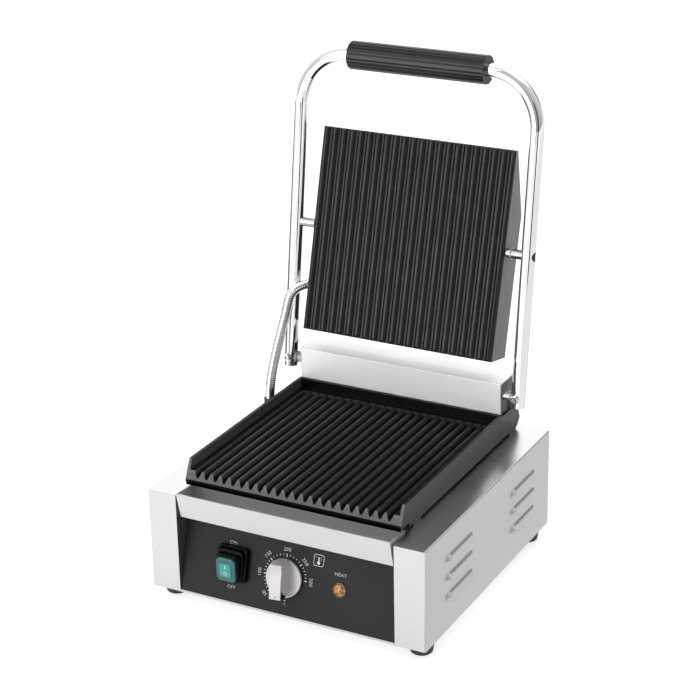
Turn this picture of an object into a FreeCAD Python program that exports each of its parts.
import FreeCAD, Part
import math
import os
import re

import Sketcher

# Panini press: a single commercial contact grill, lid standing open.
# Millimetres. X is to the user's right, Y to the back, Z up. The origin is on the
# bench, under the middle of the whole press with its lid open. Depths are measured
# back from the front of the housing and heights up from the bottom edge of its sheet.

SIZES = {
    # Sheet housing
    "width": 290, "depth": 285, "height": 101.5, "middle_deep": 145.63, "sheet": 1.2, "bend": 2,
    "wing": 31, "wing_return": 24, "tray_bay": 40, "ledge": 39,
    "rear_ledge": 8, "rear_hole_side": 30, "rear_hole_edge": 12,
    # Louvres pressed into each side
    "louvre_length": 64, "louvre_radius": 9.03, "louvre_sink": 5.03, "louvre_skin": 1,
    "louvre_edge": 30.6, "louvre_pitch": 19.2, "louvre_front": 74, "louvre_step": 146,
    # Base plate, feet and rear panel
    "base_sheet": 1, "base_lip": 2.4, "foot_height": 12, "foot_top": 12.5,
    "foot_bottom": 10.5, "foot_x": 131, "foot_inset": 21, "foot_recess": 5,
    "rivet": 1.7, "screw": 2, "screw_head": 3.8, "nut": 3.9, "nut_high": 3,
    # Front control panel
    "panel_lean": 15.7, "panel_sheet": 1.5, "panel_high": 78, "panel_half": 113.7,
    "panel_shelf": 62, "panel_toe": 2.6,
    "switch_x": -59.1, "switch_up": 40.1, "knob_x": -4.2, "knob_up": 37.4,
    "lamp_x": 53.2, "lamp_up": 38.5,
    "bezel_width": 32.2, "bezel_high": 33.4, "bezel_thick": 6,
    "skirt_width": 24.6, "skirt_high": 27, "skirt_low": 4.3, "skirt_top": 8.8,
    "boot_width": 19.5, "boot_high": 22.9, "boot_out": 16.5, "key_width": 12.1, "key_high": 13.9,
    "switch_width": 21, "switch_high": 27, "switch_deep": 20, "key_tilt": 16,
    "knob_radius": 18.4, "knob_low": 1.2, "knob_disc": 3.8, "knob_bar": 11.9, "knob_out": 19.3,
    "knob_head": 15.3, "knob_heel": 17.8, "knob_tongue": 17.2, "knob_dome": 15.4, "knob_rest": 4.5,
    "shaft": 3, "thermostat": 15, "thermostat_deep": 22, "nose": 4.8,
    "lamp_radius": 7, "lamp_dome": 2.6, "lamp_barrel": 5.4, "lamp_deep": 20,
    # Drip tray
    "tray_half": 111.6, "tray_sheet": 1, "tray_lip": 105.5, "tray_rear": 102.6,
    "tray_floor": 78.6, "tray_toe": 3.8, "tray_back": 29, "tray_nose": -2.7,
    # Lower plate
    "plate_half": 113, "wall_inner": 110, "wall_top": 130,
    "plate_front": 17.5, "plate_rear": 283, "plate_base": 104, "lip_base": 108.6, "lip_top": 112,
    "lip_deep": 34, "rear_wall": 237, "rear_wall_thick": 3.5, "platform": 118,
    "rib_top": 120.4, "rib_pitch": 9.57, "rib_count": 21, "rib_flat": 2,
    "rib_foot": 7.4, "groove": 6, "groove_end": 230,
    "ear_in": 104.5, "ear_out": 110.8, "ear_rear": 255, "ear_top": 161.2,
    "cheek_in": 111.3, "cheek_top": 128.5,
    # Hinge
    "hinge_y": 247, "hinge_z": 148.5, "hinge_shaft": 4.8, "running": 0.06,
    "bush_wall": 1, "shaft_half": 129, "lever_long": 15, "lever_x": 60,
    "cover_front": 239.8, "cover_rear": 275.2, "cover_top": 162.6,
    "cover_half": 111, "cover_sheet": 1, "cover_foot": 130.3,
    # Lid arms
    "arm_lean": 8, "arm_x": 126.5, "tube": 7, "tube_wall": 1.5, "arm_long": 313.6,
    "arm_bend": 52, "arm_tail": 9.5, "grip_half": 72.5, "grip_radius": 14,
    "grip_slot": 8, "flute": 4, "flute_deep": 0.4, "flute_count": 14, "pivot": 141.4,
    "rod": 4.7, "spigot": 3, "plug_inset": 1.6, "clip_out": 4.6,
    # Upper plate
    "lid_lean": 15.8, "lid_half": 103.8, "lid_long": 205.1,
    "pivot_up": 106.9, "pivot_deep": 7.6, "lid_thick": 36, "lid_heel": 2, "lid_knee": 142.7,
    "knee_thick": 34, "lid_neck": 195.7, "neck_deep": 10.5, "lid_tip": 6,
    "lid_groove": 3, "lid_foot": 8.2, "lid_skin": 15, "lid_wall": 6, "lid_sheet": 1.2,
    "lid_round_tip": 2.6, "lid_round_heel": 4.2,
    # Heating
    "heater": 3.2, "heater_half": 82, "clamp": 1.5, "wool": 10,
    # Flexible conduit
    "hose": 5, "hose_x": -130, "hose_y": 206.5, "gland": 6.5, "hose_in": 17.2,
    "hose_rise": 46.2, "elbow": 6.3, "elbow_long": 10.5,
}

# Centre line of the flexible conduit, from the housing ledge to the left side of the
# upper plate: across, back from the housing front, up from the sheet's bottom edge.
HOSE_ROUTE = [
    (-130, 206.5, 110),
    (-130, 206.5, 126),
    (-131.2, 218, 148.5),
    (-130.8, 230.2, 171),
    (-127.8, 240.3, 195.5),
    (-121.8, 242.8, 225),
    (-110, 254, 226.6),
]

doc = FreeCAD.newDocument("panini_press")
sizes = doc.addObject("Spreadsheet::Sheet", "Sizes")
nodes = []


# ---------------------------------------------------------------- helpers

def fill_sheet():
    """Put every driving dimension in the sheet, under its alias."""
    for row, (alias, value) in enumerate(SIZES.items(), start=1):
        sizes.set(f"A{row}", alias)
        sizes.set(f"B{row}", str(value))
        sizes.setAlias(f"B{row}", alias)
    doc.recompute()


def bound(text):
    """Turn sheet aliases in text into references to the sheet."""
    return re.sub(r"[a-z_]+", lambda m: f"Sizes.{m[0]}" if m[0] in SIZES else m[0], str(text))


def value(text):
    """What an expression over the sheet's aliases comes to."""
    return float(sizes.evalExpression(bound(text)))


def back(text):
    """Y of a depth behind the housing's front."""
    return f"({text} - middle_deep)"


def up(text):
    """Z of a height above the sheet's bottom edge."""
    return f"({text} + foot_height)"


def bind(item, **properties):
    """Bind properties of an object to expressions."""
    for name, text in properties.items():
        item.setExpression(name, bound(text))
    return item


def place(item, x="0", y="0", z="0", axis=None, angle="0"):
    """Bind an object's placement, turned by angle about axis."""
    if axis is not None:
        turn = FreeCAD.Rotation(FreeCAD.Vector(*axis), value(angle))
        item.Placement = FreeCAD.Placement(FreeCAD.Vector(), turn)
        item.setExpression("Placement.Rotation.Angle", bound(angle))
    for letter, text in zip("xyz", (x, y, z)):
        item.setExpression(f"Placement.Base.{letter}", bound(text))
    return item


AXES = {"x": ((0, 1, 0), "90"), "y": ((1, 0, 0), "-90"), "z": (None, "0")}


def box(x, y, z, long, deep, high):
    """A block from its low corner."""
    item = doc.addObject("Part::Box", "block")
    bind(item, Length=long, Width=deep, Height=high)
    return place(item, x, y, z)


def block(x0, x1, y0, y1, z0, z1):
    """A block between two values on each axis."""
    return box(x0, y0, z0, f"({x1})-({x0})", f"({y1})-({y0})", f"({z1})-({z0})")


def rod(radius, long, x, y, z, along="z"):
    """A cylinder from the centre of its low end, along an axis."""
    item = doc.addObject("Part::Cylinder", "rod")
    bind(item, Radius=radius, Height=long)
    axis, angle = AXES[along]
    return place(item, x, y, z, axis, angle)


def cone(low, high, long, x, y, z):
    """A cone standing on z."""
    item = doc.addObject("Part::Cone", "cone")
    bind(item, Radius1=low, Radius2=high, Height=long)
    return place(item, x, y, z)


def hexagon(across, long, x, y, z, along="z"):
    """A hexagonal prism, by the radius of its corners."""
    item = doc.addObject("Part::Prism", "hexagon")
    item.Polygon = 6
    bind(item, Circumradius=across, Height=long)
    axis, angle = AXES[along]
    return place(item, x, y, z, axis, angle)


def fuse(*parts):
    """One piece out of several that touch."""
    item = doc.addObject("Part::MultiFuse", "fuse")
    item.Shapes = list(parts)
    return item


def cut(base, *tools):
    """A piece with tools taken out of it."""
    item = doc.addObject("Part::Cut", "cut")
    item.Base = base
    item.Tool = tools[0] if len(tools) == 1 else fuse(*tools)
    return item


def common(one, other):
    """What two pieces share."""
    item = doc.addObject("Part::Common", "common")
    item.Base = one
    item.Tool = other
    return item


def group(*parts):
    """Several separate pieces under one name."""
    item = doc.addObject("Part::Compound", "group")
    item.Links = list(parts)
    return item


def mirrored(part):
    """The same piece on the other side of the middle plane."""
    item = doc.addObject("Part::Mirroring", "mirrored")
    item.Source = part
    item.Normal = FreeCAD.Vector(1, 0, 0)
    return item


def pair(part):
    """A piece and its mirror image."""
    return group(part, mirrored(part))


def node(label, item, frame=None):
    """Name a finished sub-part, and stand it in its frame."""
    item.Label = label
    if frame is not None:
        y, z, angle = frame
        place(item, "0", y, z, (1, 0, 0), angle)
    nodes.append(item)
    return item


def make_body(name):
    """A PartDesign body."""
    return doc.addObject("PartDesign::Body", name)


def plane_of(body, role):
    """One of a body's origin planes or axes."""
    return next(f for f in body.Origin.OriginFeatures if f.Role == role)


def sketch(body, role, points, offset="0"):
    """A closed outline of straight sides on an origin plane, each corner bound to the sheet."""
    item = body.newObject("Sketcher::SketchObject", "outline")
    item.AttachmentSupport = [(plane_of(body, role), "")]
    item.MapMode = "FlatFace"
    item.setExpression("AttachmentOffset.Base.z", bound(offset))
    corners = [FreeCAD.Vector(value(a), value(b), 0) for a, b in points]
    count = len(corners)
    for i in range(count):
        item.addGeometry(Part.LineSegment(corners[i], corners[(i + 1) % count]))
    for i in range(count):
        item.addConstraint(Sketcher.Constraint("Coincident", i, 2, (i + 1) % count, 1))
    for i, (a, b) in enumerate(points):
        for kind, text, number in (("DistanceX", a, corners[i].x), ("DistanceY", b, corners[i].y)):
            index = item.addConstraint(Sketcher.Constraint(kind, -1, 1, i, 1, number))
            item.setExpression(f"Constraints[{index}]", bound(text))
    return item


def pad(body, outline, long, middle=False, turned=False):
    """Raise an outline into a solid."""
    item = body.newObject("PartDesign::Pad", "pad")
    item.Profile = outline
    item.Midplane = middle
    item.Reversed = turned
    return bind(item, Length=long)


def pocket(body, outline, long, middle=False, turned=False):
    """Sink an outline through a solid."""
    item = body.newObject("PartDesign::Pocket", "pocket")
    item.Profile = outline
    item.Midplane = middle
    item.Reversed = turned
    return bind(item, Length=long)


def rounded(body, base, radius, wanted):
    """Fillet the edges of base whose middle and direction wanted() accepts."""
    doc.recompute()
    names = []
    for i, edge in enumerate(base.Shape.Edges, start=1):
        middle = edge.valueAt((edge.FirstParameter + edge.LastParameter) / 2)
        run = edge.Vertexes[-1].Point - edge.Vertexes[0].Point
        if run.Length > 0 and wanted(middle, run.normalize()):
            names.append(f"Edge{i}")
    item = body.newObject("PartDesign::Fillet", "round")
    item.Base = (base, names)
    return bind(item, Radius=radius)


def slab(points, long, role="YZ_Plane"):
    """A prism of an outline, its length centred on the plane."""
    body = make_body("slab")
    pad(body, sketch(body, role, points), long, middle=True)
    return body


def turned(points):
    """A solid of revolution about Z from an outline in the X-Z plane."""
    body = make_body("turned")
    outline = sketch(body, "XZ_Plane", points)
    item = body.newObject("PartDesign::Revolution", "revolution")
    item.Profile = outline
    item.ReferenceAxis = (outline, ["V_Axis"])
    item.Angle = 360
    return body


def copies(source, places):
    """Several of one piece, at (x, y, z) places."""
    parts = []
    for x, y, z in places:
        link = doc.addObject("App::Link", "copy")
        link.LinkedObject = source
        place(link, x, y, z)
        parts.append(link)
    return group(*parts)


def bent_rod(label, route, radius, bend=None):
    """A round bar along straight runs joined by tangent arcs, as one solid."""
    points = [FreeCAD.Vector(*p) for p in route]
    edges = []
    start = points[0]
    for before, corner, after in zip(points, points[1:], points[2:]):
        first = (before - corner).normalize()
        second = (after - corner).normalize()
        half = first.getAngle(second) / 2
        room = [
            (point - corner).Length * (0.95 if point in (points[0], points[-1]) else 0.48)
            for point in (before, after)
        ]
        cut_back = min(room) if bend is None else bend / math.tan(half)
        radius_here = cut_back * math.tan(half)
        entry = corner + first * cut_back
        leave = corner + second * cut_back
        reach = math.hypot(radius_here, cut_back) - radius_here
        top = corner + (first + second).normalize() * reach
        edges.append(Part.LineSegment(start, entry).toShape())
        edges.append(Part.Arc(entry, top, leave).toShape())
        start = leave
        if bend is None:
            print(f"{label}: bend radius {radius_here:.0f} mm")
    edges.append(Part.LineSegment(start, points[-1]).toShape())
    path = Part.Wire(edges)
    ring = Part.Wire(Part.makeCircle(radius, points[0], points[1] - points[0]))
    item = doc.addObject("Part::Feature", label)
    item.Shape = Part.Solid(path.makePipeShell([ring], True, False))
    return item


# ---------------------------------------------------------------- frames

PANEL = (back("0"), up("0"), "90-panel_lean")
ARM = (back("hinge_y"), up("hinge_z"), "-arm_lean")
LID = (
    f"{back('hinge_y')} + pivot*sin(arm_lean) - pivot_up*sin(lid_lean) - pivot_deep*cos(lid_lean)",
    f"{up('hinge_z')} + pivot*cos(arm_lean) - pivot_up*cos(lid_lean) + pivot_deep*sin(lid_lean)",
    "-lid_lean",
)


# ---------------------------------------------------------------- housing

def louvre_form(radius):
    """Upper sector of a capsule along Y, its axis inside the side sheet."""
    run = "(louvre_length/2-louvre_radius)"
    x, y, z = "width/2-louvre_sink", back("louvre_front"), up("louvre_edge")
    barrel = bind(doc.addObject("Part::Cylinder", "barrel"), Radius=radius, Height=f"2*{run}")
    barrel.Angle = 60
    parts = [place(barrel, x, f"{y}+{run}", z, (1, 0, 0), "90")]
    for sign in ("-", "+"):
        end = bind(doc.addObject("Part::Sphere", "end"), Radius=radius)
        end.Angle3 = 60
        parts.append(place(end, x, f"{y}{sign}{run}", z, (1, 0, 0), "90"))
    return fuse(*parts)


def louvres(radius):
    """Three louvre forms, front and rear, on both sides."""
    places = [("0", f"{i}*louvre_step", f"{j}*louvre_pitch") for i in range(2) for j in range(3)]
    return pair(copies(louvre_form(radius), places))


def housing_shell():
    """Folded sheet: sides with louvres, front wings, top ledges and rear."""
    body = make_body("shell")
    x0, x1 = "-width/2", "width/2"
    y0, y1 = back("0"), back("depth")
    base = pad(body, sketch(body, "XY_Plane", [(x0, y0), (x1, y0), (x1, y1), (x0, y1)], up("0")), "height")
    high = value(up("height"))
    side = value("width/2")

    def folded(middle, run):
        upright = abs(run.z) > 0.99
        along = abs(run.y) > 0.99 and middle.z > high - 0.1
        return (upright or along) and abs(middle.x) > side - 0.1
    rounded(body, base, "bend", folded)
    inner = [(f"{x0}+sheet", f"{y0}+sheet"), (f"{x1}-sheet", f"{y0}+sheet"),
             (f"{x1}-sheet", f"{y1}-sheet"), (f"{x0}+sheet", f"{y1}-sheet")]
    pocket(body, sketch(body, "XY_Plane", inner, up("0")), "height-sheet", turned=True)
    half = "(width/2-wing)"
    ledge = "(width/2-ledge)"
    bay = back("tray_bay")
    far = back("depth-rear_ledge")
    opening = [(f"-{half}", f"{y0}-1"), (half, f"{y0}-1"), (half, bay), (ledge, bay),
               (ledge, far), (f"-{ledge}", far), (f"-{ledge}", bay), (f"-{half}", bay)]
    pocket(body, sketch(body, "XY_Plane", opening, up("height+1")), "sheet+3")
    front = [(f"-{half}", up("-1")), (half, up("-1")), (half, up("height+1")), (f"-{half}", up("height+1"))]
    pocket(body, sketch(body, "XZ_Plane", front, f"-{back('0')}+1"), "sheet+2", turned=False)
    side = "(width/2-rear_hole_side)"
    low, high = up("rear_hole_edge"), up("height-rear_hole_edge")
    rear = [(f"-{side}", low), (side, low), (side, high), (f"-{side}", high)]
    pocket(body, sketch(body, "XZ_Plane", rear, f"-{back('depth')}-1"), "sheet+2", turned=True)
    for sign in ("", "-"):
        flange = [(f"{sign}{half}", y0), (f"{sign}({half}+sheet)", y0),
                  (f"{sign}({half}+sheet)", back("wing_return")), (f"{sign}{half}", back("wing_return"))]
        pad(body, sketch(body, "XY_Plane", flange, up("base_sheet+0.1")), "height-base_sheet-0.1")
    raised = fuse(body, louvres("louvre_radius"))
    holes = [rod("rivet", "10", x, back("depth-5"), z, "y") for x, z in rear_spots()]
    entry = rod("gland+0.1", "10", "hose_x", back("hose_y"), up("height-5"))
    node("housing_shell", cut(raised, louvres("louvre_radius-louvre_skin"), entry, *holes))


def base_plate():
    """Bottom sheet with a turned-up front lip and holes for the feet."""
    half = "(width/2-sheet-0.1)"
    plate = block(f"-{half}", half, back("sheet+0.1"), back("depth-sheet-0.1"), up("0"), up("base_sheet"))
    lip = block("-panel_half", "panel_half", back("0"), back("sheet+0.1"), up("0"), up("base_lip"))
    holes = [rod("screw+0.3", "base_sheet+2", x, y, up("-1")) for x, y in foot_places()]
    vents = [block(f"{x}-22", f"{x}+22", back(f"{y}-2"), back(f"{y}+2"), up("-1"), up("base_sheet+1"))
             for x in (-60, 0, 60) for y in (70, 82, 200, 212)]
    node("base_plate", cut(fuse(plate, lip), *holes, *vents))


def foot_places():
    return [(f"{sign}foot_x", back(y)) for sign in ("-", "") for y in ("foot_inset", "depth-foot_inset")]


def feet():
    """Four rubber feet, each held by a screw and nut through the base plate."""
    foot = turned([("screw+0.2", "foot_recess"), ("foot_recess", "foot_recess"), ("foot_recess", "0"),
                   ("foot_bottom-1", "0"), ("foot_bottom", "1"), ("foot_top", "foot_height"),
                   ("screw+0.2", "foot_height")])
    node("feet", copies(foot, [(x, y, "0") for x, y in foot_places()]))
    screw = turned([("0", "foot_recess-2.4"), ("screw_head", "foot_recess-1.8"),
                    ("screw_head", "foot_recess"), ("screw", "foot_recess"),
                    ("screw", "foot_height+base_sheet+5"), ("0", "foot_height+base_sheet+5")])
    node("foot_screws", copies(screw, [(x, y, "0") for x, y in foot_places()]))
    nuts = [cut(hexagon("nut", "nut_high", x, y, up("base_sheet")), rod("screw", "9", x, y, up("0")))
            for x, y in foot_places()]
    node("foot_nuts", group(*nuts))


def rear_spots():
    """Where the rear panel is screwed on, across and up."""
    return [(f"{side}(width/2-rear_hole_side+5)", up(z)) for side in ("-", "") for z in ("22", "height-22")]


def rear_panel():
    """Closing sheet inside the rear, with the mains gland and its screws."""
    inside = back("depth-sheet-0.05")
    outer = back("depth-2*sheet-0.05")
    half = "(width/2-rear_hole_side+9)"
    sheet = block(f"-{half}", half, outer, inside, up("rear_hole_edge-6"), up("height-rear_hole_edge+6"))
    holes = [rod("rivet", "depth", x, back("depth/2"), z, "y") for x, z in rear_spots()]
    inlet = rod("8.1", "30", "80", back("depth-20"), up("34"), "y")
    node("rear_panel", cut(sheet, *holes, inlet))
    screws = [fuse(rod("rivet-0.1", "2*sheet+4", x, back("depth-2*sheet-3.5"), z, "y"),
                   rod("3.2", "2.2", x, back("depth"), z, "y")) for x, z in rear_spots()]
    node("rear_screws", group(*screws))
    gland = fuse(rod("8", "20", "80", back("depth-12"), up("34"), "y"),
                 hexagon("11.5", "5", "80", back("depth-1.2"), up("34"), "y"),
                 rod("9.6", "14", "80", back("depth"), up("34"), "y"))
    node("mains_gland", cut(gland, rod("4.2", "60", "80", back("depth-30"), up("34"), "y")))
    locknut = hexagon("11.5", "4", "80", back("depth-2*sheet-4.1"), up("34"), "y")
    node("gland_locknut", cut(locknut, rod("8", "30", "80", back("depth-30"), up("34"), "y")))


# ---------------------------------------------------------------- controls

def control_panel():
    """Leaning front panel with a shelf under the drip tray, pierced for the controls."""
    run = "panel_high*tan(panel_lean)"
    rise = "panel_sheet/cos(panel_lean)"
    outline = [(back("panel_toe*tan(panel_lean)"), up("panel_toe")), (back(run), up("panel_high")),
               (back("panel_shelf"), up("panel_high")), (back("panel_shelf"), up("panel_high-panel_sheet")),
               (back(f"{run}+{rise}"), up("panel_high-panel_sheet")),
               (back(f"panel_toe*tan(panel_lean)+{rise}"), up("panel_toe"))]
    sheet = slab(outline, "2*panel_half")
    tools = group(
        block("switch_x-switch_width/2-0.1", "switch_x+switch_width/2+0.1",
              "switch_up-switch_high/2-0.1", "switch_up+switch_high/2+0.1", "-8", "8"),
        rod("nose+0.1", "16", "knob_x", "knob_up", "-8"),
        rod("lamp_barrel+0.1", "16", "lamp_x", "lamp_up", "-8"),
    )
    y, z, angle = PANEL
    place(tools, "0", y, z, (1, 0, 0), angle)
    node("control_panel", cut(sheet, tools))


def rounded_box(x, y, wide, high, low, top, radius):
    """A block with round upright corners, centred on (x, y)."""
    straight = f"({wide})/2-{radius}"
    tall = f"({high})/2-{radius}"
    parts = [block(f"{x}-({wide})/2", f"{x}+({wide})/2", f"{y}-({tall})", f"{y}+{tall}", low, top),
             block(f"{x}-({straight})", f"{x}+{straight}", f"{y}-({high})/2", f"{y}+({high})/2", low, top)]
    for sx in ("-", "+"):
        for sy in ("-", "+"):
            parts.append(rod(radius, f"({top})-({low})", f"{x}{sx}({straight})", f"{y}{sy}({tall})", low))
    return fuse(*parts)


def power_switch():
    """Rocker switch: body behind the panel, bezel, and the rocker of boot and key."""
    x, y = "switch_x", "switch_up"
    bezel = rounded_box(x, y, "bezel_width", "bezel_high", "0", "bezel_thick", "4")
    well = block(f"{x}-skirt_width/2-0.4", f"{x}+skirt_width/2+0.4", f"{y}-skirt_high/2-2.3",
                 f"{y}+skirt_high/2+2.3", "0.3", "20")
    node("switch_bezel", cut(bezel, well), PANEL)
    case = block(f"{x}-switch_width/2", f"{x}+switch_width/2", f"{y}-switch_high/2", f"{y}+switch_high/2",
                 "-switch_deep", "0")
    tabs = [block(f"{x}+{dx}-3.2", f"{x}+{dx}+3.2", f"{y}+{dy}-0.4", f"{y}+{dy}+0.4",
                  "-switch_deep-8", "-switch_deep+1") for dx in (-5, 5) for dy in (-8, 8)]
    node("switch_body", fuse(case, *tabs), PANEL)
    boot = fuse(rounded_box("0", "0", "skirt_width", "skirt_high", "skirt_low", "skirt_top", "3.5"),
                rounded_box("0", "0", "boot_width", "boot_high", "skirt_top-1", "boot_out", "3"))
    window = block("-key_width/2-0.1", "key_width/2+0.1", "-key_high/2-0.1", "key_high/2+0.1", "9", "30")
    key = block("-key_width/2", "key_width/2", "-key_high/2", "key_high/2", "9", "boot_out+0.9")
    for label, part in (("rocker_boot", cut(boot, window)), ("rocker_key", key)):
        holder = group(part)
        place(holder, x, y, "0", (1, 0, 0), "key_tilt")
        node(label, group(holder), PANEL)


def knob_bar():
    """The knob's raised bar, on the knob's own axis: sloping head, flat front, domed underside."""
    half = "knob_bar/2"
    head = make_body("knob_head")
    side = [("0", "knob_disc-0.5"), ("knob_heel", "knob_disc-0.5"), ("knob_head", "knob_out"),
            ("0", "knob_out")]
    pad(head, sketch(head, "YZ_Plane", side), "knob_bar", middle=True)
    dome = common(rod("knob_dome", "knob_bar", f"-{half}", "0", "knob_disc", "x"),
                  block(f"-{half}", half, "-knob_dome-1", "0.5", "knob_disc-0.5", "knob_out"))
    tongue = block(f"-{half}", half, "-knob_tongue", "0.5", "knob_out-1.6", "knob_out")
    return fuse(head, dome, tongue)


def thermostat():
    """Thermostat behind the panel, its nut, shaft and knob, and the sensing bulb."""
    x, y = "knob_x", "knob_up"
    case = fuse(rod("thermostat", "thermostat_deep", x, y, "-thermostat_deep-3"),
                rod("nose", "5.5", x, y, "-3.5"))
    node("thermostat_body", cut(case, rod("shaft+running", "30", x, y, "-12")), PANEL)
    nut = cut(hexagon("7.6", "1.8", x, y, "0.05"), rod("nose", "9", x, y, "-3"))
    node("thermostat_nut", nut, PANEL)
    node("thermostat_shaft", group(rod("shaft", "23", x, y, "-10")), PANEL)
    disc = rod("knob_radius", "knob_disc-knob_low", "0", "0", "knob_low")
    bore = rod("shaft", "13", "0", "0", "0")
    nut_room = rod("8.4", "1.2", "0", "0", "1")
    holder = group(cut(fuse(disc, knob_bar()), bore, nut_room))
    place(holder, x, y, "0", (0, 0, 1), "knob_rest")
    node("knob", group(holder), PANEL)


def heat_lamp():
    """Amber indicator: lens in front of the panel, barrel behind."""
    x, y = "lamp_x", "lamp_up"
    dome = fuse(rod("lamp_radius", "1.2", x, y, "0.05"),
                cone("lamp_radius", "lamp_radius-2.4", "lamp_dome-1.2", x, y, "1.25"))
    node("lamp_lens", dome, PANEL)
    barrel = fuse(rod("lamp_barrel", "lamp_deep", x, y, "-lamp_deep"),
                  block(f"{x}-3", f"{x}-2.2", f"{y}-2.5", f"{y}+2.5", "-lamp_deep-7", "-lamp_deep+1"),
                  block(f"{x}+2.2", f"{x}+3", f"{y}-2.5", f"{y}+2.5", "-lamp_deep-7", "-lamp_deep+1"))
    node("lamp_body", barrel, PANEL)


def drip_tray():
    """Open trough that slides out over the panel's shelf."""
    outer = [(back("tray_nose"), up("tray_lip")), (back("tray_toe"), up("tray_floor")),
             (back("tray_back"), up("tray_floor")), (back("tray_back"), up("tray_rear"))]
    inner = [(back("tray_nose+tray_sheet*1.03"), up("tray_lip+3")),
             (back("tray_nose+tray_sheet*1.03"), up("tray_lip")),
             (back("tray_toe+tray_sheet*1.2"), up("tray_floor+tray_sheet")),
             (back("tray_back-tray_sheet"), up("tray_floor+tray_sheet")),
             (back("tray_back-tray_sheet"), up("tray_lip+3"))]
    body = make_body("tray")
    pad(body, sketch(body, "YZ_Plane", outer), "2*tray_half", middle=True)
    pocket(body, sketch(body, "YZ_Plane", inner), "2*(tray_half-tray_sheet)", middle=True)
    node("drip_tray", body)


# ---------------------------------------------------------------- lower plate

def rib_comb(half_pitches, top, deep, long, wide, role="XZ_Plane", start="0"):
    """Cutter for the grooves between ribs: one tooth, repeated across."""
    body = make_body("comb")
    left = f"(-{half_pitches}*rib_pitch/2)"
    right = f"({left}+rib_pitch)"
    foot = f"((rib_pitch-{wide})/2)"
    flat = "(rib_flat/2)"
    tooth = [(left, f"{top}+1"), (left, top), (f"{left}+{flat}", top),
             (f"{left}+rib_pitch/2-{foot}", f"{top}-{deep}"),
             (f"{left}+rib_pitch/2+{foot}", f"{top}-{deep}"),
             (f"{right}-{flat}", top), (right, top), (right, f"{top}+1")]
    first = pad(body, sketch(body, role, tooth, start), long, turned=(role == "XZ_Plane"))
    rows = body.newObject("PartDesign::LinearPattern", "teeth")
    rows.Originals = [first]
    rows.Direction = (plane_of(body, "X_Axis"), [""])
    rows.Occurrences = int(value(half_pitches))
    bind(rows, Length=f"({half_pitches}-1)*rib_pitch")
    body.Tip = rows
    return body


def lower_plate():
    """Ribbed iron casting with side walls, rear platform and hinge ears."""
    outline = [(back("plate_front"), up("lip_base")), (back("lip_deep"), up("lip_base")),
               (back("lip_deep"), up("plate_base")), (back("plate_rear-6"), up("plate_base")),
               (back("plate_rear"), up("plate_base+7")), (back("plate_rear"), up("platform-4")),
               (back("plate_rear-4"), up("platform")), (back("rear_wall+rear_wall_thick"), up("platform")),
               (back("rear_wall+rear_wall_thick"), up("wall_top")),
               (back("plate_front+8.5"), up("wall_top")),
               (back("plate_front"), up("lip_top"))]
    casting = slab(outline, "2*plate_half")
    ears = [block(a, b, back("rear_wall+rear_wall_thick+0.5"), back("ear_rear"),
                  up("platform-2"), up("ear_top"))
            for a, b in (("-ear_out", "-ear_in"), ("ear_in", "ear_out"))]
    cheek = [(back("rear_wall"), up("platform-2")), (back("rear_wall"), up("cheek_top")),
             (back("plate_rear-18"), up("cheek_top")), (back("plate_rear-7"), up("cheek_top-3.5")),
             (back("plate_rear-2"), up("platform")), (back("plate_rear-2"), up("platform-2"))]
    cheeks = cut(slab(cheek, "2*plate_half"),
                 block("-cheek_in", "cheek_in", back("rear_wall-1"), back("depth"),
                       up("platform-3"), up("wall_top")))
    pads = [block(a, b, back(y), back(f"{y}+16"), up("height+0.05"), up("plate_base+1"))
            for a, b in (("-plate_half", "-plate_half+6"), ("plate_half-6", "plate_half"))
            for y in (42, 258)]
    lugs = [cut(block(f"{x}-7", f"{x}+7", back("cover_rear-9"), back("cover_rear-cover_sheet-0.1"),
                      up("platform-2"), up("platform+11")),
                rod("rivet-0.1", "10", x, back("cover_rear-6"), up("platform+6"), "y"))
            for x in ("-90", "90")]
    recess = block("-wall_inner", "wall_inner", back("0"), back("rear_wall"),
                   up("rib_top"), up("wall_top+5"))
    slope = [(back("0"), up("rib_top+5")), (back("0"), up("rib_top-groove-2")),
             (back("groove_end-groove"), up("rib_top-groove-2")), (back("groove_end+2"), up("rib_top+2")),
             (back("groove_end+2"), up("rib_top+5"))]
    grooves = common(rib_comb("(rib_count+1)", up("rib_top"), "groove", "depth", "rib_foot",
                               start=f"-{back('0')}"),
                     slab(slope, "2*plate_half"))
    bore = rod("hinge_shaft+running+bush_wall", "width", "-width/2", back("hinge_y"), up("hinge_z"), "x")
    slots = [block(f"{x}-8", f"{x}+8", back("242"), back("274"), up("90"), up("platform+1"))
             for x in (-60, 60)]
    node("lower_plate", cut(fuse(casting, cheeks, *ears, *lugs, *pads), recess, grooves, bore, *slots))
    flange_in = "ear_in-1.5"
    bush = fuse(rod("hinge_shaft+running+bush_wall", "ear_out-ear_in+1.5",
                    flange_in, back("hinge_y"), up("hinge_z"), "x"),
                rod("hinge_shaft+1.3", "1.5", flange_in, back("hinge_y"), up("hinge_z"), "x"))
    hole = rod("hinge_shaft+running", "20", "ear_in-5", back("hinge_y"), up("hinge_z"), "x")
    node("hinge_bushes", pair(cut(bush, hole)))


def heater_route(z, front, rear):
    """A tubular element folded into four runs."""
    half = value("heater_half")
    runs = [-half, -half / 3, half / 3, half]
    route = []
    for i, x in enumerate(runs):
        ends = (rear, front) if i % 2 == 0 else (front, rear)
        route += [(x, ends[0], z), (x, ends[1], z)]
    return route


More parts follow.
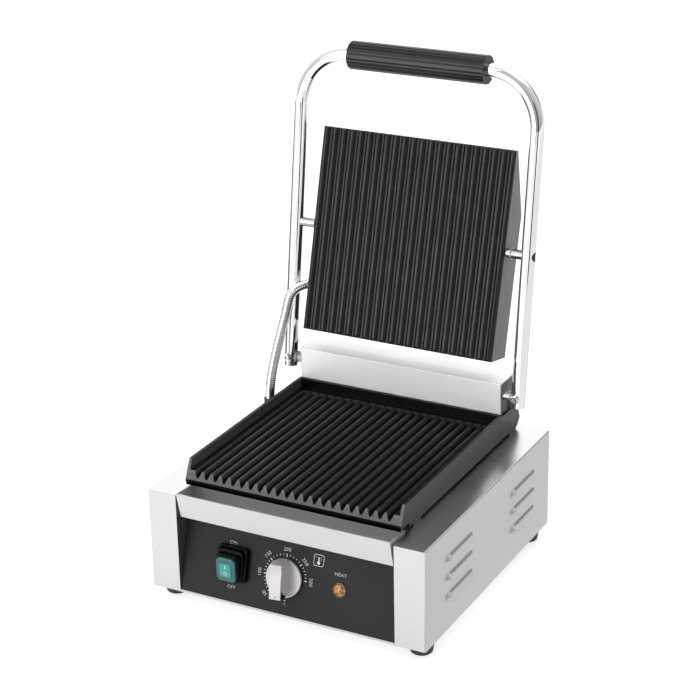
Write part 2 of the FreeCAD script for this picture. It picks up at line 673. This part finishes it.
def lower_heating():
    """Element, clamp, mineral wool and heat shield bolted under the lower plate."""
    top = value(up("plate_base-heater"))
    node("lower_heater", bent_rod("lower_heater", heater_route(top, value(back("60")), value(back("215"))),
                                  value("heater"), 14))
    under = "plate_base-2*heater"
    half = "94"
    clamp = block(f"-{half}", half, back("48"), back("228"), up(f"{under}-clamp-0.1"), up(f"{under}-0.1"))
    wool = block(f"-{half}", half, back("48"), back("228"),
                 up(f"{under}-clamp-wool-0.2"), up(f"{under}-clamp-0.2"))
    shield_top = f"{under}-clamp-wool-0.3"
    shield = cut(block("-98", "98", back("44"), back("232"), up(f"{shield_top}-1"), up(f"{under}+3")),
                 block("-97", "97", back("45"), back("231"), up(shield_top), up("200")))
    spots = [(x, back(y)) for x in ("-86", "86") for y in ("53", "223")]
    holes = [rod("3.2", "60", x, y, up("60")) for x, y in spots]
    node("lower_clamp_plate", cut(clamp, *holes))
    node("lower_insulation", cut(wool, *holes))
    node("heat_shield", cut(shield, *holes))
    studs = [rod("3", "25.5", x, y, up("plate_base-25.5")) for x, y in spots]
    node("plate_studs", group(*studs))
    nuts = [cut(hexagon("5.8", "4.5", x, y, up(f"{shield_top}-5.6")), rod("3", "60", x, y, up("60")))
            for x, y in spots]
    node("stud_nuts", group(*nuts))


def wiring_gear():
    """Sensing bulb with its capillary, ceramic terminal block and earth stud."""
    z = value(up("plate_base-22.6"))
    x = value("knob_x")
    y = value(back("0"))
    route = [(x, y + 42, value(up("40"))), (x, y + 60, value(up("40"))), (x, y + 60, z - 8),
             (x, y + 100, z - 8), (x, y + 130, z - 8)]
    thin = bent_rod("capillary", route[:4], 1.0, 6)
    bulb = rod("3", "70", "knob_x", back("100"), f"{z - 8}", "y")
    node("thermostat_bulb", group(fuse(thin, bulb)))
    block_low = up("base_sheet+0.1")
    ceramic = block("-20", "20", back("235"), back("257"), block_low, up("19"))
    bores = [rod("2.6", "30", f"{dx}", back("230"), up("9"), "y") for dx in (-12, 0, 12)]
    node("terminal_block", cut(ceramic, *bores))
    stud = fuse(rod("2.5", "20", "-60", back("240"), up("base_sheet+0.05")),
                hexagon("4.6", "4", "-60", back("240"), up("base_sheet+0.05")),
                hexagon("4.6", "4", "-60", back("240"), up("base_sheet+9")))
    node("earth_stud", stud)


# ---------------------------------------------------------------- hinge

def spring_cover():
    """Folded steel cover over the hinge springs, open at the ends."""
    y0, y1 = back("cover_front"), back("cover_rear")
    top = up("cover_top")
    outline = [(y0, up("cover_foot")), (y0, top), (y1, top), (y1, up("platform+0.1")),
               (f"{y1}-cover_sheet", up("platform+0.1")), (f"{y1}-cover_sheet", f"{top}-cover_sheet"),
               (f"{y0}+cover_sheet", f"{top}-cover_sheet"), (f"{y0}+cover_sheet", up("cover_foot"))]
    body = make_body("cover")
    base = pad(body, sketch(body, "YZ_Plane", outline), "2*cover_half", middle=True)
    high = value(top)
    rounded(body, base, "0.8", lambda middle, run: abs(run.x) > 0.99 and middle.z > high - 0.01)
    holes = [rod("rivet", "6", x, back("cover_rear-4"), up("platform+6"), "y") for x in ("-90", "90")]
    node("spring_cover", cut(body, *holes))
    screws = [fuse(rod("rivet-0.1", "6", x, back("cover_rear-6"), up("platform+6"), "y"),
                   rod("3.2", "2", x, back("cover_rear"), up("platform+6"), "y")) for x in ("-90", "90")]
    node("cover_screws", group(*screws))


def hinge_works():
    """Shaft with its levers and the counterbalance springs that pull on them."""
    shaft = rod("hinge_shaft", "2*shaft_half", "-shaft_half", "0", "0", "x")
    cross = [rod("2.02", "30", f"{s}arm_x", "-15", "0", "y") for s in ("-", "")]
    node("hinge_shaft", cut(shaft, *cross), ARM)
    drop = "lever_long"
    lever = cut(fuse(rod("6", "4", "lever_x-2", back("hinge_y"), up("hinge_z"), "x"),
                     block("lever_x-2", "lever_x+2", back("hinge_y-4"), back("hinge_y+4"),
                           up(f"hinge_z-{drop}"), up("hinge_z")),
                     rod("4", "4", "lever_x-2", back("hinge_y"), up(f"hinge_z-{drop}"), "x"),
                     rod("1.5", "10", "lever_x-5", back("hinge_y"), up(f"hinge_z-{drop}"), "x")),
                rod("hinge_shaft", "20", "lever_x-10", back("hinge_y"), up("hinge_z"), "x"))
    node("counterbalance_levers", pair(lever))
    coil_top = f"hinge_z-{drop}-9"
    coil = cut(rod("6", f"{coil_top}-44", "lever_x", back("hinge_y+3"), up("44")),
               rod("4", f"{coil_top}-40", "lever_x", back("hinge_y+3"), up("42")))
    node("counterbalance_springs", pair(coil))
    bar = block("-75", "75", back("hinge_y-1"), back("hinge_y+7"), up("38"), up("41"))
    posts = [block(a, b, back("hinge_y-1"), back("hinge_y+7"), up("base_sheet+0.05"), up("41"))
             for a, b in (("-75", "-72"), ("72", "75"))]
    node("spring_anchor", fuse(bar, *posts))


# ---------------------------------------------------------------- lid arms

def tube_frame(radius, tail):
    """The arms' bent tube as one solid of the given radius."""
    leg_top = "arm_long-arm_bend"
    parts = [rod(radius, "2*(arm_x-arm_bend)", "-(arm_x-arm_bend)", "0", "arm_long", "x")]
    for sign in (-1, 1):
        side = "-" if sign < 0 else ""
        parts.append(rod(radius, f"{leg_top}+arm_tail+{tail}", f"{side}arm_x", "0", f"-arm_tail-{tail}"))
        bend = doc.addObject("Part::Torus", "bend")
        bend.Angle3 = 90
        bind(bend, Radius1="arm_bend", Radius2=radius)
        turn = FreeCAD.Rotation(FreeCAD.Vector(1, 0, 0), 90)
        if sign < 0:
            turn = FreeCAD.Rotation(FreeCAD.Vector(0, 1, 0), -90).multiply(turn)
        bend.Placement = FreeCAD.Placement(FreeCAD.Vector(), turn)
        for letter, text in zip("xyz", (f"{side}(arm_x-arm_bend)", "0", leg_top)):
            bend.setExpression(f"Placement.Base.{letter}", bound(text))
        parts.append(bend)
    return fuse(*parts)


def lid_arms():
    """Bent tube, clamped on the hinge shaft, with its screws and grip."""
    bores = [rod("hinge_shaft", "10", x, "0", "0", "x") for x in ("-arm_x", "arm_x-10")]
    pivots = [rod("rod", "30", x, "0", "pivot", "x") for x in ("-arm_x-15", "arm_x-15")]
    cross = [rod("2.02", "30", f"{s}arm_x", "-15", "0", "y") for s in ("-", "")]
    inside = tube_frame("tube-tube_wall", "2")
    node("arm_tube", cut(tube_frame("tube", "0"), inside, *bores, *pivots, *cross), ARM)
    screw = cut(fuse(rod("2", "21", "arm_x", "-10", "0", "y"),
                     rod("3.3", "3.4", "arm_x", "-11.9", "0", "y")),
                hexagon("1.9", "2.2", "arm_x", "-12.1", "0", "y"))
    node("clamp_screws", pair(screw), ARM)
    saddle = cut(rod("3.9", "3.4", "arm_x", "-8.5", "0", "y"), rod("2", "20", "arm_x", "-15", "0", "y"),
                 rod("tube", "30", "arm_x", "0", "-15"))
    node("clamp_saddles", pair(saddle), ARM)
    nut = cut(hexagon("4", "3", "arm_x", "7.3", "0", "y"), rod("2", "30", "arm_x", "-15", "0", "y"))
    node("clamp_nuts", pair(nut), ARM)
    collar = cut(rod("hinge_shaft+1.2", "1.2", "arm_x-tube-1.3", "0", "0", "x"),
                 rod("hinge_shaft", "30", "arm_x-25", "0", "0", "x"))
    node("shaft_washers", pair(collar), ARM)
    grip()


def grip():
    """Fluted plastic grip, a C in section, snapped over the top bar."""
    body = rod("grip_radius", "2*grip_half", "-grip_half", "0", "arm_long", "x")
    tools = [rod("tube", "2*grip_half+2", "-grip_half-1", "0", "arm_long", "x"),
             block("-grip_half-1", "grip_half+1", "0", "grip_radius+2",
                   "arm_long-grip_slot/2", "arm_long+grip_slot/2")]
    for i in range(int(value("flute_count"))):
        angle = f"({i}+0.5)*360/flute_count"
        if abs(value(f"sin({angle})")) < 0.35 and value(f"cos({angle})") > 0:
            continue
        out = "(grip_radius+flute-flute_deep)"
        tools.append(rod("flute", "2*grip_half+2", "-grip_half-1", f"{out}*cos({angle})",
                         f"arm_long+{out}*sin({angle})", "x"))
    node("handle_grip", cut(body, *tools), ARM)


def pivot_rods():
    """Rods from the arms into the upper plate's sides, a snap ring, and end plugs."""
    end = "arm_x+tube-plug_inset"
    bar = fuse(rod("rod", f"({end}-1.4)-(lid_half+1)", "lid_half+1", "0", "pivot", "x"),
               rod("spigot", "12", "lid_half-9", "0", "pivot", "x"))
    node("pivot_rods", pair(bar), ARM)
    ring = cut(rod("rod+1", "1.4", "lid_half+clip_out", "0", "pivot", "x"),
               rod("rod", "20", "lid_half-2", "0", "pivot", "x"))
    node("pivot_clip", group(ring), ARM)
    plug = rod("rod", "1.3", f"{end}-1.3", "0", "pivot", "x")
    node("arm_plugs", pair(plug), ARM)


# ---------------------------------------------------------------- upper plate

def lid_profile(inset, start, end):
    """Side outline of the upper plate's back, from start to end up the plate."""
    return [("0", start), (f"lid_thick-{inset}", f"{start}+lid_heel"), (f"knee_thick-{inset}", "lid_knee"),
            (f"neck_deep-{inset}", "lid_neck"), (f"lid_tip-{inset}", end), ("0", end)]


def upper_plate():
    """Ribbed iron casting, hollow behind, carried on the two pivot rods."""
    body = make_body("lid")
    outline = lid_profile("lid_sheet", "0", "lid_long")
    base = pad(body, sketch(body, "YZ_Plane", outline), "2*lid_half", middle=True)
    doc.recompute()
    half = value("lid_half")
    rounds = []
    for i, edge in enumerate(base.Shape.Edges, start=1):
        first, last = edge.Vertexes[0].Point, edge.Vertexes[-1].Point
        if all(abs(abs(end.x) - half) < 0.01 and abs(end.y) < 0.01 for end in (first, last)):
            radii = value("lid_round_heel"), value("lid_round_tip")
            rounds.append((i, *(radii if first.z < last.z else reversed(radii))))
    eased = doc.addObject("Part::Fillet", "eased")
    eased.Base = body
    eased.Edges = rounds
    hollow = slab([("lid_skin", "lid_wall"), ("60", "lid_wall"), ("60", "lid_neck-22"),
                   ("lid_skin", "lid_neck-22")], "2*(lid_half-lid_wall)")
    comb = rib_comb("21", "0", "lid_groove", "lid_long+2", "lid_foot", role="XY_Plane", start="-1")
    flipped = doc.addObject("Part::Mirroring", "ribs")
    flipped.Source = comb
    flipped.Normal = FreeCAD.Vector(0, 1, 0)
    bores = [rod("spigot+running", "11", x, "pivot_deep", "pivot_up", "x")
             for x in ("-lid_half-1", "lid_half-10")]
    gland = rod("4", "14", "-lid_half-5", "hose_in", "hose_rise", "x")
    node("upper_plate", cut(eased, hollow, flipped, *bores, gland), LID)
    cover = [("lid_thick-lid_sheet", "lid_heel"), ("lid_thick", "lid_heel"), ("knee_thick", "lid_knee"),
             ("neck_deep", "lid_neck"), ("lid_tip", "lid_long"), ("lid_tip-lid_sheet", "lid_long"),
             ("neck_deep-lid_sheet", "lid_neck"), ("knee_thick-lid_sheet", "lid_knee")]
    sheet = slab(cover, "2*lid_half")
    node("upper_cover", sheet, LID)


def upper_heating():
    """Element, clamp and mineral wool inside the upper plate."""
    half = value("heater_half")
    z0, z1 = 14, 138
    y = value("lid_skin+heater")
    runs = [-half, -half / 3, half / 3, half]
    route = []
    for i, x in enumerate(runs):
        ends = (z0, z1) if i % 2 == 0 else (z1, z0)
        route += [(x, y, ends[0]), (x, y, ends[1])]
    node("upper_heater", group(bent_rod("upper_element", route, value("heater"), 14)), LID)
    under = "lid_skin+2*heater"
    clamp = block("-92", "92", f"{under}+0.1", f"{under}+0.1+clamp", "9", "lid_knee+9")
    node("upper_clamp_plate", group(clamp), LID)
    wool = block("-92", "92", f"{under}+clamp+0.2", "knee_thick-lid_sheet-0.4", "9", "lid_knee-2")
    node("upper_insulation", group(wool), LID)


# ---------------------------------------------------------------- conduit

def conduit():
    """Flexible metal conduit from the housing ledge to the upper plate, with its glands."""
    origin = FreeCAD.Vector(0, value(back("0")), value(up("0")))
    route = [origin + FreeCAD.Vector(*point) for point in HOSE_ROUTE]
    node("conduit", bent_rod("conduit", route, value("hose")))
    low = fuse(hexagon("gland+2", "4", "hose_x", back("hose_y"), up("height+0.05")),
               rod("hose+1.6", "8.4", "hose_x", back("hose_y"), up("height+0.05")),
               rod("gland", "8", "hose_x", back("hose_y"), up("height-7.9")))
    node("conduit_gland", cut(low, rod("hose-1.5", "30", "hose_x", back("hose_y"), up("height-10"))))
    aim = (route[-2] - route[-1]).normalize()
    wall = route[-1] - aim * ((route[-1].x + value("lid_half")) / aim.x)
    barrel = bind(doc.addObject("Part::Cylinder", "barrel"), Radius="elbow", Height="elbow_long+6")
    turn = FreeCAD.Rotation(FreeCAD.Vector(0, 0, 1), -aim)
    barrel.Placement = FreeCAD.Placement(route[-1] - aim * 0.05, turn)
    flange = hexagon("elbow+2.6", "3.5", "-lid_half-3.55", str(wall.y), str(wall.z), "x")
    inside = block("-lid_half-0.05", "0", "-200", "200", "0", "500")
    node("conduit_elbow", cut(fuse(barrel, flange), inside))


def main():
    """Build every sub-part, check it and write its STEP file."""
    fill_sheet()
    housing_shell()
    base_plate()
    feet()
    rear_panel()
    control_panel()
    power_switch()
    thermostat()
    heat_lamp()
    drip_tray()
    lower_plate()
    lower_heating()
    wiring_gear()
    spring_cover()
    hinge_works()
    lid_arms()
    pivot_rods()
    upper_plate()
    upper_heating()
    conduit()
    doc.recompute()
    for item in doc.Objects:
        if "Invalid" in item.State or "Error" in item.State:
            raise RuntimeError(f"{item.Name} ({item.Label}) didn't compute")
    os.makedirs("parts", exist_ok=True)
    for item in nodes:
        shape = item.Shape
        if shape.isNull() or not shape.isValid() or not shape.Solids:
            raise RuntimeError(f"{item.Label} isn't a valid solid")
        shape.exportStep(f"parts/{item.Label}.step")
        print(f"{item.Label}: {len(shape.Solids)} solids, {shape.Volume / 1000:.1f} cm3")


main()
